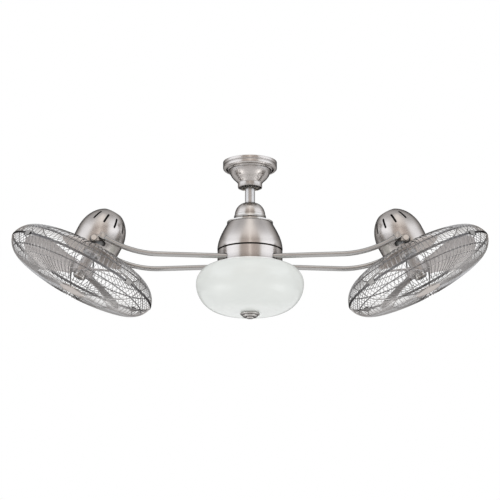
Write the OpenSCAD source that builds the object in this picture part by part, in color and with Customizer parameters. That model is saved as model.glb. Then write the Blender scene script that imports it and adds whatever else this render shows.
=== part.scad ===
// Twin head ceiling fan: two caged fan heads on paired arms turn round a hanging
// motor bell with a glass bowl light under it.
// Millimetres. The origin lies on the ceiling plane, on the fan's vertical axis, and +Z is up.

/* [Canopy] */
// Radius of the canopy's cover ring
canopy_ring_r = 69; // [68:1:78]
// Height of the cover ring
canopy_ring_h = 21; // [18:1:26]
// Radius of the canopy inside its cover ring
canopy_r = 60.5; // [58:0.5:62]
// Drop of the canopy from the ceiling to its mouth
canopy_drop = 69; // [66:1:80]
// Radius of the canopy's mouth, on its outside
mouth_r = 31; // [30:0.5:34]
// Wall of the pressed covers
sheet = 1.2; // [0.8:0.1:1.4]

/* [Hanger] */
// Radius of the hanger ball
ball_r = 26; // [24:0.5:27]
// Depth of the ball's centre under the ceiling
ball_drop = 40; // [38:0.5:42]
// Spacing of the two ceiling screw slots
slot_spacing = 88.9; // [80:0.1:92]
// Width of a ceiling screw slot
slot_w = 5.2; // [4.5:0.1:6]
// Length of a ceiling screw slot
slot_l = 12; // [8:1:14]

/* [Down rod] */
// Outside diameter of the down rod
rod_d = 25.4; // [21:0.1:27]
// Wall of the down rod
rod_wall = 2; // [1.5:0.1:3]
// Depth of the rod's lower end under the ceiling
rod_bottom = 138; // [134:1:140]

/* [Bell] */
// Depth of the yoke cover's top
yoke_top = 111; // [108:1:113]
// Radius of the yoke cover's foot
yoke_r = 39; // [36:0.5:42]
// Depth of the flared collar's top
collar_top = 143; // [141:0.5:145]
// Depth of the bell's top
bell_top = 166; // [164:0.5:168]
// Radius of the bell's top
bell_top_r = 58; // [56:0.5:60]
// Depth of the bell's lower edge
bell_bottom = 235; // [233:0.5:237]
// Radius of the bell's lower edge
bell_r = 83; // [82:0.5:85]

/* [Turning hub] */
// Height of the turning band
band_h = 33; // [32:1:34]
// Gap between the bell and the turning band
bell_gap = 4; // [2.5:0.5:5]
// Radius of the turning band
band_r = 82.5; // [82:0.5:84]
// Diameter of the fixed hollow shaft
shaft_d = 20; // [18:0.5:21]
// Module of the turning gears
gear_m = 1.5; // [1.5:0.1:1.6]
// Teeth of the big gear on the hub
gear_teeth = 64; // [64:4:64]
// Teeth of the drive pinion
pinion_teeth = 16; // [16:1:16]
// Face width of the gears
gear_w = 8; // [6:0.5:9]

/* [Arms] */
// Diameter of an arm tube
arm_d = 12.7; // [11:0.1:13.5]
// Wall of an arm tube
arm_wall = 1.5; // [1:0.1:2.5]
// Depth of the arms' straight run under the ceiling
arm_drop = 263; // [262:0.5:264]
// Distance of an arm's root from the front to back mid plane
arm_root_y = 49.5; // [47:0.5:51]
// Angle by which the two arms of a pair spread
arm_spread = 6.5; // [6:0.1:7]
// Distance from the axis at which an arm starts to rise
arm_rise_x = 230; // [200:1:250]
// Radius of the rising bend
arm_bend_r = 250; // [220:1:290]
// Angle of the rising bend
arm_bend = 33; // [30:1:36]

/* [Fan heads] */
// Height of the tilt axis over the guard's rim plane
pivot_h = 77; // [75:0.5:80]
// Tilt of a head from the vertical
tilt = 27; // [20:1:34]
// Radius of the motor shell
shell_r = 62; // [60:0.5:62.5]
// Height of the motor shell's crown over the rim plane
shell_top = 171; // [165:1:176]
// Vents round the motor shell
vents = 12; // [8:1:14]
// Diameter of the motor shaft
motor_shaft_d = 8; // [7:0.5:9]

/* [Wire guards] */
// Radius of the guards' rims, to the middle of the rim wire
rim_r = 197; // [190:1:206]
// Diameter of a rim wire
rim_d = 4; // [3.5:0.1:4.5]
// Diameter of a hoop
hoop_d = 3; // [2.5:0.1:3.2]
// Diameter of a rib
rib_d = 3.8; // [3.5:0.1:4.2]
// Diameter of a fine wire
wire_d = 2.2; // [1.6:0.1:2.4]
// Fine wires in a guard
wires = 48; // [36:4:84]
// Ribs in a guard
ribs = 6; // [4:1:8]

/* [Blades] */
// Distance of the blade tips from the guards' rims
tip_gap = 31; // [29:1:40]
// Blades of a fan head
blades = 3; // [3:1:4]
// Thickness of a blade
blade_t = 1.8; // [1.4:0.1:2.4]
// Widest chord of a blade
blade_chord = 108; // [90:1:115]
// Pitch of a blade at its root
root_pitch = 34; // [28:1:38]
// Pitch of a blade at its tip
tip_pitch = 21; // [16:1:26]

/* [Light] */
// Widest radius of the glass bowl
bowl_r = 136.7; // [132:0.5:142]
// Depth of the bowl's top edge
bowl_top = 277.4; // [277:0.1:279]
// Radius of the bowl's upper round
bowl_round_top = 45; // [42:0.5:47]
// Radius of the bowl's lower round
bowl_round_low = 72; // [70:0.5:76]
// Wall of the glass
glass = 3.5; // [2.5:0.1:5]
// Radius of the finial's flange
finial_r = 24.5; // [22:0.5:26]
// Radius of a lamp's globe
lamp_r = 23; // [20:0.5:25]

/* [Fits] */
// Gap between pieces that are seated but not held tight
seat = 0.3; // [0.2:0.05:0.4]
// Radial clearance of a pin or shaft that turns or slides in its bore
running = 0.05; // [0.03:0.01:0.08]

/* [Hidden] */
$fn = 96;

nickel = [0.66, 0.63, 0.59];
bright = [0.78, 0.76, 0.73];
steel = [0.55, 0.56, 0.58];
dark = [0.2, 0.19, 0.18];
brass = [0.75, 0.6, 0.3];
opal = [0.93, 0.95, 0.93];
nylon = [0.85, 0.83, 0.76];

tiny = 0.01;          // overshoot of a cutting solid

// ---- canopy and hanger
bracket_t = 2.5;
bracket_w = 30;
ear_h = 12;
canopy_screw_d = 4;
canopy_screw_drop = 8;
seat_ring_r = ball_r + 4;
seat_ring_h = 11;
leg_t = 3;
ear_t = 4.5;
pin_d = 6;
groove_w = 7;
tab_w = 2.4;
ring_round = 5;       // round of the cover ring's lower edge
bracket_r = canopy_r - sheet - 2 * seat;

// ---- bell and frame
rod_r = rod_d / 2;
yoke_pin_drop = rod_bottom - 10;
coupler_r = 18;
flange_r = 32;
flange_t = 5;
core_drop = bell_top + sheet + 19.4;
core_t = 4;
core_r = bell_wall_r(core_drop) - 1.4 * sheet - seat;
shaft_r = shaft_d / 2;
shaft_top = bell_top - 16;
bolt_d = 5;
bolt_ring_r = 25;
bolts = 3;

// ---- turning hub
band_top = bell_bottom + bell_gap;
band_bottom = band_top + band_h;
gear_r = gear_m * gear_teeth / 2;
pinion_r = gear_m * pinion_teeth / 2;
pinion_y = gear_r + pinion_r;
gear_top = 214;
backlash = 0.16;
motor_r = 22;
motor_y = pinion_y - 14;
motor_h = 17;
pinion_shaft_r = 3;
bearing_w = 7;
bearing_r = shaft_r + 6;
ball_ring_r = shaft_r + 3;
race_ball_r = 1.6;
race_balls = 12;
upper_bearing = gear_top + gear_w + 2;
lower_bearing = arm_drop - 1;
hub_tube_r = bearing_r + 8;
hub_bore_r = bearing_r + 2.5;
carrier_t = 6;
boss_l = 60;
boss_w = 24;
boss_h = 19;
boss_x = 54;
slip_top = upper_bearing + bearing_w + 4;
slip_r = shaft_r + 4.5;
slip_w = 3;
slip_pitch = 6;
slips = 3;
arm_screw_d = 5;
brush_w = 10;

// ---- arms
arm_r = arm_d / 2;
arm_in_x = 30;
arm_run = (arm_rise_x - arm_in_x) / cos(arm_spread);
arm_end_s = arm_run + arm_bend_r * sin(arm_bend);
arm_end_rise = arm_bend_r * (1 - cos(arm_bend));
arm_end_x = arm_in_x + arm_end_s * cos(arm_spread);
arm_end_y = arm_root_y + arm_end_s * sin(arm_spread);
knuckle = 15.5;
link_in = shell_r + 2.3;
link_t = 9;
link_r = 9;
link_reach = 26.72;                           // from the end of an arm tube to the tilt axis
link_rise = 1.67;
pivot_x = arm_end_x + link_reach;
pivot_drop = arm_drop - arm_end_rise - link_rise;

// ---- guards: a shoulder arc meets a dome arc, which runs on to the centre plate
rear_round = 57;
rear_lean = 16;
rear_turn = 68;
rear_dome = 240;
rear_plate_in = 113;                          // from the rim to the centre plate's edge
rear_plate_r = rim_r - rear_plate_in;
rear_hole_r = 22;
front_round = 50;
front_lean = 18;
front_turn = 74;
front_dome = 484;
front_plate_in = 157;
front_plate_r = rim_r - front_plate_in;
plate_t = 2;
layer = (wire_d + hoop_d) / 2 + running;      // the hoops lie this far inside the fine wires
rib_layer = layer + 1.2;                      // and the ribs this far
plate_drop = wire_d / 2 + 0.3;                // the centre plate's face lies this far inside them
rim_z = rim_d / 2 + 0.1;                      // the two rims lie on each other
wire_end = rim_z + rim_d / 2 + seat;
rear_hoops_in = [90, 62];                     // from the rim to the hoops on the dome
front_hoops_in = [129, 98, 66];
outer_hoop_in = 15;
tuck = 6;                                     // length of the wires and ribs on the centre plate
rear_hoops = concat([for (d = rear_hoops_in) rim_r - d],
                    [joint_r(rear_round, rear_lean, rear_turn), rim_r - outer_hoop_in]);
front_hoops = concat([for (d = front_hoops_in) rim_r - d],
                     [joint_r(front_round, front_lean, front_turn), rim_r - outer_hoop_in]);
rear_flat = guard_flat(rear_round, rear_lean, rear_turn, rear_dome);
front_flat = guard_flat(front_round, front_lean, front_turn, front_dome);
butt = 0.2;                                   // gap where two pieces of a wire are butted
clips = 4;

// ---- heads
frame_low = rear_flat - plate_drop + seat;
frame_r = 50;
frame_wall = 8;
spigot_h = 10;
frame_top = 108;
shell_mid = 100;
shell_rise = 78;
shell_foot_r = shell_r - 1.5;
motor_shaft_r = motor_shaft_d / 2;
stator_r = frame_r - frame_wall - seat;
stator_in = 24;
stator_low = 68;
stator_h = 26;
air_gap = 0.6;
vent_w = 5.5;
vent_low = 127;
vent_high = 155;
boss_r = 9;
bolt_r = 4;
window_r = 12;
window_run = 18;
hub_r = 30;
hub_low = -5;
hub_top = 36;
blade_tip_r = rim_r - tip_gap;
blade_root_r = 24;
blade_mid = 3;
blade_clock = 180;
blade_bow = 240;       // radius of the blades' curved sheet

// ---- light
pan_t = 1.8;
pan_bottom = bowl_top - 1;
cup_r = 15;
cup_depth = 20;
bowl_rod_r = 3;
lamp_drop = pan_bottom + 40;
holder_r = 15;
holder_in = 19;
holder_out = 52;
lamp_out = 116;
bowl_mid = bowl_top + bowl_round_top;
bowl_low = bowl_mid + bowl_round_low;
bowl_belly = bowl_low + 3;
finial_top = bowl_belly + 1.4;
finial_h = 13.5;
washer_r = 12;

// ---- outlines
// Points along a round of radius r about c, from angle a0 to a1
function arc(c, r, a0, a1, n = 12) =
    [for (i = [0:n]) let (a = a0 + (a1 - a0) * i / n) [c[0] + r * cos(a), c[1] + r * sin(a)]];

// Unit vector across outline p at point i, toward the inside of a shell drawn from top to bottom
function across(p, i) =
    let (d = p[min(i + 1, len(p) - 1)] - p[max(i - 1, 0)]) [d[1], -d[0]] / norm(d);

// Closed outline of a wall of thickness t inside outline p
function walled(p, t) = concat(p, [for (i = [len(p) - 1:-1:0]) p[i] + t * across(p, i)]);

// Outside radius of the bell at a depth
function bell_wall_r(drop) =
    bell_top_r + (bell_r - bell_top_r) * sin(90 * (drop - bell_top) / (bell_bottom - bell_top));

// Outside radius of the motor shell at height h over the rim plane
function shell_wall_r(h) =
    h > shell_mid ? shell_r * sqrt(1 - pow((h - shell_mid) / shell_rise, 2))
    : shell_foot_r + (shell_r - shell_foot_r) * sin(90 * (h - frame_low) / (shell_mid - frame_low));

// Centre of a guard's shoulder arc and of its dome arc, and the height of its flat
function round_c(r, lean) = [rim_r - r * cos(lean), wire_end - r * sin(lean)];
function dome_c(r, lean, turn, dome) = round_c(r, lean) + (r - dome) * [cos(turn), sin(turn)];
function guard_flat(r, lean, turn, dome) = dome_c(r, lean, turn, dome)[1] + dome;

// Radius at which the two arcs meet in the hoop layer
function joint_r(r, lean, turn) = round_c(r, lean)[0] + (r - layer) * cos(turn);

// Height of a guard's hoop layer at radius p
function guard_h(p, r, lean, turn, dome) =
    let (rc = round_c(r, lean), dc = dome_c(r, lean, turn, dome))
    p > rc[0] + (r - layer) * cos(turn) ? rc[1] + sqrt(pow(r - layer, 2) - pow(p - rc[0], 2))
    : p > dc[0] ? dc[1] + sqrt(pow(dome - layer, 2) - pow(p - dc[0], 2))
    : dc[1] + dome - layer;

// Point of an involute from base radius b at radius r, as [radius, angle]
function involute_a(b, r) = let (t = sqrt(pow(r / b, 2) - 1)) t * 180 / PI - atan(t);

// Half the angle of a gear tooth at radius r
function tooth_half(n, m, r) =
    let (b = n * m / 2 * cos(20), p = n * m / 2)
    90 / n - backlash / 2 / p * 90 / PI + involute_a(b, p) - involute_a(b, max(r, b));

// Outline of a spur gear with n teeth of module m
function gear_outline(n, m) =
    let (p = n * m / 2, foot = p - 1.25 * m, tip = p + 0.95 * m,
         steps = [for (k = [0:4]) max(foot, n * m / 2 * cos(20)) * (1 - k / 4) + tip * k / 4])
    [for (i = [0:n - 1]) each concat(
        [foot * [cos(i * 360 / n - tooth_half(n, m, foot)), sin(i * 360 / n - tooth_half(n, m, foot))]],
        [for (r = steps) r * [cos(i * 360 / n - tooth_half(n, m, r)), sin(i * 360 / n - tooth_half(n, m, r))]],
        [for (k = [4:-1:0]) let (r = steps[k])
            r * [cos(i * 360 / n + tooth_half(n, m, r)), sin(i * 360 / n + tooth_half(n, m, r))]],
        [foot * [cos(i * 360 / n + tooth_half(n, m, foot)), sin(i * 360 / n + tooth_half(n, m, foot))]])];

// ---- shared shapes
// A round solid from depth a down to depth b
module drum(r, a, b) translate([0, 0, -b]) cylinder(r = r, h = b - a);

// A ring of outside radius r and inside radius q from depth a down to depth b
module ring(r, q, a, b) difference() {
    drum(r, a, b);
    drum(q, a - 1, b + 1);
}

// A round solid along Y from y0 to y1
module rod_y(r, y0, y1) translate([0, y0, 0]) rotate([-90, 0, 0]) cylinder(r = r, h = y1 - y0);

// A round solid along X from x0 to x1
module rod_x(r, x0, x1) translate([x0, 0, 0]) rotate([0, 90, 0]) cylinder(r = r, h = x1 - x0);

module hoop(r, h, d) translate([0, 0, h]) rotate_extrude() translate([r, 0]) circle(d = d, $fn = 32);

// A copy on each side of the middle, left and right
module both_x() {
    children();
    mirror([1, 0, 0]) children();
}

// A copy at the front and at the back
module both_y() {
    children();
    mirror([0, 1, 0]) children();
}

// Places what is drawn over a guard's rim plane on the head of one side
module on_head(side) mirror([side > 0 ? 1 : 0, 0, 0])
    translate([-pivot_x, 0, -pivot_drop]) rotate([0, tilt, 0]) translate([0, 0, -pivot_h]) children();

// ---- canopy and hanger
module hanger_bracket() color(steel) {
    difference() {
        intersection() {
            drum(bracket_r, 0, ear_h);
            union() {
                translate([-bracket_r, -bracket_w / 2, -bracket_t]) cube([2 * bracket_r, bracket_w, bracket_t]);
                both_x() translate([bracket_r - ear_t, -bracket_w / 2, -ear_h])
                    cube([ear_t, bracket_w, ear_h]);
            }
        }
        drum(16, -1, bracket_t + 1);
        both_x() translate([slot_spacing / 2, 0, -bracket_t - 1]) linear_extrude(bracket_t + 2) {
            square([slot_l - slot_w, slot_w], center = true);
            both_x() translate([(slot_l - slot_w) / 2, 0]) circle(d = slot_w);
        }
        translate([0, 0, -canopy_screw_drop]) rod_x(canopy_screw_d / 2 + running, -canopy_r, canopy_r);
    }
    both_x() translate([seat_ring_r - leg_t, -bracket_w / 3, -ball_drop - 4])
        cube([leg_t, bracket_w * 2 / 3, ball_drop + 4 - bracket_t]);
    difference() {
        drum(seat_ring_r, ball_drop + 3, ball_drop + 3 + seat_ring_h);
        translate([0, 0, -ball_drop]) sphere(r = ball_r + seat);
    }
    intersection() {
        translate([-tab_w / 2, ball_r - 2, -ball_drop - 3 - seat_ring_h]) cube([tab_w, 4, seat_ring_h]);
        drum(seat_ring_r, ball_drop + 3, ball_drop + 3 + seat_ring_h);
    }
}

module canopy() {
    dome = concat([[canopy_r, -0.5], [canopy_r, -canopy_ring_h + 5]],
                  [[canopy_r - 2, -canopy_ring_h + 1], [canopy_r - 5, -canopy_ring_h - 2]],
                  arc([13, -16.5], 40.5, -8, -44, 8),
                  [[mouth_r + 2.5, -canopy_drop + 16], [mouth_r, -canopy_drop + 10],
                   [mouth_r, -canopy_drop + 1], [mouth_r - 1.2, -canopy_drop]]);
    color(nickel) difference() {
        rotate_extrude() polygon(walled(dome, sheet));
        translate([0, 0, -canopy_screw_drop]) rod_x(canopy_screw_d / 2 + seat, -canopy_r - 1, canopy_r + 1);
    }
}

module canopy_ring() {
    top = -0.4;
    lip_r = canopy_r + seat;
    edge = concat([[canopy_ring_r - 1, top], [canopy_ring_r, top - 1], [canopy_ring_r, -8.5],
                   [canopy_ring_r - 1, -9.5], [canopy_ring_r - 1, -10.3], [canopy_ring_r, -11.3]],
                  arc([canopy_ring_r - ring_round, -canopy_ring_h + ring_round], ring_round, 0, -90, 6),
                  [[lip_r, -canopy_ring_h]]);
    hem = -canopy_ring_h + 6;
    inside = [[lip_r, hem], [lip_r + sheet, hem], [lip_r + sheet, -canopy_ring_h + sheet + 0.3],
              [canopy_ring_r - ring_round, -canopy_ring_h + sheet + 0.3], [canopy_ring_r - 3, -12],
              [canopy_ring_r - 3, top]];
    color(nickel) rotate_extrude() polygon(concat(edge, inside));
}

module canopy_screws() color(bright) both_x() translate([0, 0, -canopy_screw_drop]) {
    rod_x(canopy_screw_d / 2, bracket_r - ear_t - seat, canopy_r + seat);
    rod_x(canopy_screw_d, canopy_r + seat, canopy_r + seat + 2);
}

module hanger_ball() color(nylon) difference() {
    intersection() {
        translate([0, 0, -ball_drop]) sphere(r = ball_r);
        drum(ball_r + 1, ball_drop - 13, ball_drop + 17);
    }
    drum(rod_r + running, 0, ball_drop + 30);
    translate([0, 0, -ball_drop]) rod_y(pin_d / 2 + running, -ball_r - 1, ball_r + 1);
    translate([-groove_w / 2, ball_r - 2.6, -ball_drop - 30]) cube([groove_w, 6, 60]);
}

module rod_pins() color(steel) {
    translate([0, 0, -ball_drop]) rod_y(pin_d / 2, -ball_r + 4, ball_r - 4);
    translate([0, 0, -yoke_pin_drop]) rod_x(pin_d / 2, -coupler_r - 2, coupler_r + 2);
}

module downrod() color(nickel) difference() {
    ring(rod_r, rod_r - rod_wall, ball_drop - 12, rod_bottom);
    translate([0, 0, -ball_drop]) rod_y(pin_d / 2 + running, -rod_d, rod_d);
    translate([0, 0, -yoke_pin_drop]) rod_x(pin_d / 2 + running, -rod_d, rod_d);
}

// ---- bell and frame
module yoke_cover() {
    top_r = rod_r + seat;
    dome = concat([for (i = [0:12]) let (a = 90 - i * 7.5)
                      [top_r + (yoke_r - top_r) * cos(a), -collar_top + (collar_top - yoke_top) * sin(a)]],
                  [[yoke_r, -collar_top - 3]]);
    color(nickel) rotate_extrude() polygon(walled(dome, sheet));
}

module collar_ring() {
    foot = bell_top_r + 0.6;
    flare = concat([[yoke_r + seat, -collar_top]],
                   [for (i = [0:10]) let (t = i / 10)
                       [yoke_r + 1.5 + (foot - yoke_r - 1.5) * (1 - cos(90 * t)),
                        -collar_top - 1 - (bell_top - collar_top - 6) * sin(90 * t)]],
                   [[foot, -bell_top + 4], [foot, -bell_top + 1], [foot - 0.8, -bell_top + seat],
                    [foot - 4, -bell_top + seat]]);
    inside = [[foot - 4, -bell_top + 3], [yoke_r + 4, -collar_top - 12], [yoke_r + seat, -collar_top - 6]];
    color(bright) rotate_extrude() polygon(concat(flare, inside));
}

module bolt_holes(r) for (i = [0:bolts - 1]) rotate([0, 0, 90 + i * 360 / bolts])
    translate([bolt_ring_r, 0, 0]) drum(r, bell_top - 20, bell_top + 40);

module motor_coupler() color(steel) difference() {
    union() {
        drum(coupler_r, rod_bottom - 22, bell_top);
        drum(flange_r, bell_top - flange_t, bell_top);
    }
    drum(rod_r + running, 0, rod_bottom + 1);
    drum(shaft_r + running, shaft_top, bell_top + 1);
    drum(shaft_r - 3, rod_bottom - 1, shaft_top + 1);
    translate([0, 0, -yoke_pin_drop]) rod_x(pin_d / 2 + running, -coupler_r - 1, coupler_r + 1);
    bolt_holes(bolt_d / 2 + running);
}

module frame_bolts() color(steel) for (i = [0:bolts - 1]) rotate([0, 0, 90 + i * 360 / bolts])
    translate([bolt_ring_r, 0, 0]) {
        drum(bolt_d / 2, bell_top - flange_t - seat, bell_top + sheet + 12);
        drum(bolt_d - 0.6, bell_top - flange_t - seat - 3.5, bell_top - flange_t - seat);
    }

module bell_housing() {
    wall = [for (i = [0:14]) let (d = bell_top + (bell_bottom - bell_top) * i / 14) [bell_wall_r(d), -d]];
    color(nickel) difference() {
        union() {
            rotate_extrude() polygon(walled(wall, sheet));
            ring(bell_top_r, shaft_r + 4, bell_top, bell_top + sheet);
        }
        bolt_holes(bolt_d / 2 + running);
    }
}

module core_plate() color(steel) difference() {
    union() {
        drum(flange_r, bell_top + sheet, bell_top + sheet + 5);
        drum(coupler_r + 2, bell_top + sheet, core_drop + core_t);
        drum(core_r, core_drop, core_drop + core_t);
        bolt_posts();
    }
    drum(shaft_r + running, bell_top, core_drop + core_t + 1);
    bolt_holes(bolt_d / 2);
    for (a = [210, 330]) rotate([0, 0, a]) translate([core_r - 22, 0, 0])
        drum(10, core_drop - 1, core_drop + core_t + 1);
}

module bolt_posts() for (i = [0:bolts - 1]) rotate([0, 0, 90 + i * 360 / bolts])
    translate([bolt_ring_r, 0, 0]) drum(bolt_d + 1, bell_top + sheet, core_drop + tiny);

module hollow_shaft() color(steel) difference() {
    union() {
        drum(shaft_r, shaft_top, pan_bottom + 8);
        drum(shaft_r + 3, lower_bearing + bearing_w + seat, pan_bottom - pan_t - seat);
    }
    drum(shaft_r - 3, shaft_top - 1, pan_bottom + 9);
}

module gearmotor() color(steel) difference() {
    translate([0, motor_y, 0]) {
        drum(motor_r, core_drop + core_t, core_drop + core_t + motor_h);
        translate([0, pinion_y - motor_y, 0])
            drum(6, core_drop + core_t + motor_h - tiny, gear_top - 2);
    }
    translate([0, pinion_y, 0]) drum(pinion_shaft_r + running, gear_top - 12, gear_top);
}

module drive_pinion() color(brass) translate([0, pinion_y, 0]) {
    translate([0, 0, -gear_top - gear_w - 1]) rotate([0, 0, 180 / pinion_teeth])
        linear_extrude(gear_w + 2) polygon(gear_outline(pinion_teeth, gear_m));
    drum(pinion_shaft_r, gear_top - 12 + seat, gear_top);
}

// ---- turning hub
module hub_core() color(steel) difference() {
    union() {
        drum(hub_tube_r, gear_top + gear_w, lower_bearing + bearing_w);
        drum(gear_r - 6, gear_top + gear_w, gear_top + gear_w + 4);
        intersection() {
            drum(band_r - sheet - seat, band_top, band_bottom);
            union() {
                drum(band_r, arm_drop - carrier_t / 2, arm_drop + carrier_t / 2);
                both_x() both_y() at_arm_root()
                    translate([boss_x - arm_in_x - boss_l / 2, -boss_w / 2, -boss_h / 2])
                        cube([boss_l, boss_w, boss_h]);
            }
        }
    }
    drum(bearing_r + running, gear_top, upper_bearing + bearing_w);
    drum(hub_bore_r, upper_bearing + bearing_w - tiny, lower_bearing - 2);
    drum(bearing_r - 2, gear_top, lower_bearing + bearing_w + 1);
    drum(bearing_r + running, lower_bearing, lower_bearing + bearing_w + 1);
    both_x() both_y() at_arm_root() {
        rod_x(arm_r + running, -1, band_r);
        translate([18, 0, 0]) cylinder(d = arm_screw_d, h = boss_h);
    }
    translate([-brush_w / 2 - seat, 0, -slip_top - slips * slip_pitch])
        cube([brush_w + 2 * seat, hub_tube_r + 1, slips * slip_pitch]);
}

// The root of the arm at the back on the right, with X along the arm
module at_arm_root() translate([arm_in_x, arm_root_y, -arm_drop]) rotate([0, 0, arm_spread]) children();

module hub_band() color(nickel) difference() {
    ring(band_r, band_r - sheet, band_top, band_bottom);
    both_x() both_y() at_arm_root() rod_x(arm_r + sheet, 0, band_r);
}

module ring_gear() color(brass) difference() {
    translate([0, 0, -gear_top - gear_w]) linear_extrude(gear_w) polygon(gear_outline(gear_teeth, gear_m));
    drum(bearing_r + 4, gear_top - 1, gear_top + gear_w + 1);
}

module race(r, q) for (d = [upper_bearing, lower_bearing]) difference() {
    ring(r, q, d, d + bearing_w);
    hoop(ball_ring_r, -d - bearing_w / 2, 2 * race_ball_r + 0.2);
}

module bearing_inner_rings() color(bright) race(ball_ring_r - 0.8, shaft_r + running);

module bearing_outer_rings() color(bright) race(bearing_r, ball_ring_r + 0.8);

module bearing_balls() color(bright) for (d = [upper_bearing, lower_bearing], i = [0:race_balls - 1])
    rotate([0, 0, i * 360 / race_balls]) translate([ball_ring_r, 0, -d - bearing_w / 2])
        sphere(r = race_ball_r, $fn = 24);

module slip_rings() color(brass) for (i = [0:slips - 1])
    ring(slip_r, shaft_r + running, slip_top + i * slip_pitch + 1.5, slip_top + i * slip_pitch + 1.5 + slip_w);

module brush_block() color(dark) {
    translate([-brush_w / 2, hub_bore_r - 1, -slip_top - slips * slip_pitch + seat])
        cube([brush_w, hub_tube_r - hub_bore_r + 5, slips * slip_pitch - 2 * seat]);
    for (i = [0:slips - 1])
        translate([-1.5, slip_r + seat, -slip_top - i * slip_pitch - 1.5 - slip_w])
            cube([3, hub_bore_r - slip_r, slip_w]);
}

module arm_screws() color(steel) both_x() both_y() at_arm_root() translate([18, 0, arm_r + running])
    cylinder(d = arm_screw_d, h = boss_h / 2 - arm_r - running);

// ---- arms
module arm(side, end) {
    mirror([side < 0 ? 1 : 0, 0, 0]) mirror([0, end < 0 ? 1 : 0, 0]) color(nickel) difference() {
        union() {
            at_arm_root() {
                difference() {
                    rod_x(arm_r, 0, arm_run);
                    rod_x(arm_r - arm_wall, -1, arm_run);
                }
                translate([arm_run, 0, arm_bend_r]) rotate([90, 0, 0])
                    rotate_extrude(start = -90, angle = arm_bend) translate([arm_bend_r, 0]) difference() {
                        circle(r = arm_r);
                        circle(r = arm_r - arm_wall);
                    }
            }
            translate([arm_end_x + 1, 0, -arm_drop + arm_end_rise]) rotate([0, -arm_bend, 0])
                translate([-3, link_in, -knuckle / 2]) cube([knuckle, arm_end_y + arm_r - link_in + 1, knuckle]);
            link();
        }
        translate([pivot_x, 0, -pivot_drop]) rod_y(bolt_r + running, 0, link_in + link_t + 1);
    }
}

// The flat link from the knuckle to the tilt axis
module link() translate([pivot_x, link_in + link_t, -pivot_drop]) rotate([90, 0, 0]) linear_extrude(link_t) {
    circle(r = link_r);
    rotate(180) translate([0, -link_r + 2]) square([link_reach - 8, 2 * link_r - 4]);
}

// ---- fan heads, drawn over the rim plane
module motor_frame() color(steel) difference() {
    union() {
        translate([0, 0, frame_low]) cylinder(r = shell_foot_r - sheet - seat, h = 4);
        translate([0, 0, frame_low]) cylinder(r = frame_r, h = frame_top - frame_low);
        translate([0, 0, frame_low - spigot_h]) cylinder(r = rear_hole_r - seat, h = spigot_h + 2);
        translate([0, 0, pivot_h]) rod_y(boss_r, -link_in + seat, link_in - seat);
        translate([0, 0, frame_top - 1]) cylinder(r = 14, h = 7);
    }
    translate([0, 0, frame_low + 6]) cylinder(r = frame_r - frame_wall, h = frame_top - frame_low - 12);
    translate([0, 0, frame_low - 2 * spigot_h]) cylinder(r = motor_shaft_r + running, h = 2 * frame_top);
    both_y() translate([0, 0, pivot_h]) rod_y(bolt_r, frame_r - frame_wall - 1, link_in + 1);
}

module motor_shell() {
    low = frame_low + 0.5;
    wall = concat([for (i = [0:14]) let (h = shell_top - (shell_top - shell_mid) * pow(i / 14, 1.5))
                      [shell_wall_r(h), h]],
                  [for (i = [1:4]) let (h = shell_mid - (shell_mid - low) * i / 4) [shell_wall_r(h), h]]);
    color(nickel) difference() {
        rotate_extrude() polygon(concat([[0, shell_top]], walled(wall, sheet),
                                        [[0, shell_top - sheet - 0.4]]));
        for (i = [0:vents - 1]) rotate([0, 0, i * 360 / vents - 90]) vent();
        both_y() translate([0, 0, pivot_h]) {
            rod_y(window_r, shell_r - 20, shell_r + 5);
            translate([0, shell_r - 20, -window_r * 0.55]) cube([window_run + window_r, 25, window_r * 1.1]);
        }
    }
}

// A vent that runs down the shell, round at both ends
module vent() translate([0, 0, (vent_low + vent_high) / 2]) rotate([90, 0, 90]) linear_extrude(shell_r + 5) {
    square([vent_w, vent_high - vent_low - vent_w], center = true);
    for (k = [-1, 1]) translate([0, k * (vent_high - vent_low - vent_w) / 2]) circle(d = vent_w);
}

module pivot_bolts() color(bright) both_y() translate([0, 0, pivot_h]) {
    rod_y(bolt_r, frame_r - frame_wall + 1, link_in + link_t + seat);
    rod_y(bolt_r * 1.7, link_in + link_t + seat, link_in + link_t + seat + 4);
}

module stator() color(brass) {
    translate([0, 0, stator_low]) difference() {
        cylinder(r = stator_r, h = stator_h);
        translate([0, 0, -1]) cylinder(r = stator_in, h = stator_h + 2);
    }
}

module rotor_shaft() color(steel) {
    translate([0, 0, -14]) cylinder(r = motor_shaft_r, h = frame_top + 14 + 4);
    translate([0, 0, stator_low + 1]) cylinder(r = stator_in - air_gap, h = stator_h - 2);
}

// One bent wire of a guard: a shoulder piece and a dome piece, butted over the hoop where they meet
module guard_wire(d, depth, r, lean, turn, dome, inner, reach = 0) {
    rc = round_c(r, lean);
    dc = dome_c(r, lean, turn, dome);
    bent(rc, r - depth, lean - reach, turn - asin(butt / 2 / (r - depth)), d);
    bent(dc, dome - depth, turn + asin(butt / 2 / (dome - depth)), acos((inner - dc[0]) / (dome - depth)), d);
}

// A round bar along an arc about c in the XZ plane
module bent(c, r, a0, a1, d) translate([c[0], 0, c[1]]) rotate([90, 0, 0])
    rotate_extrude(start = a0, angle = a1 - a0) translate([r, 0]) circle(d = d, $fn = 32);

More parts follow.
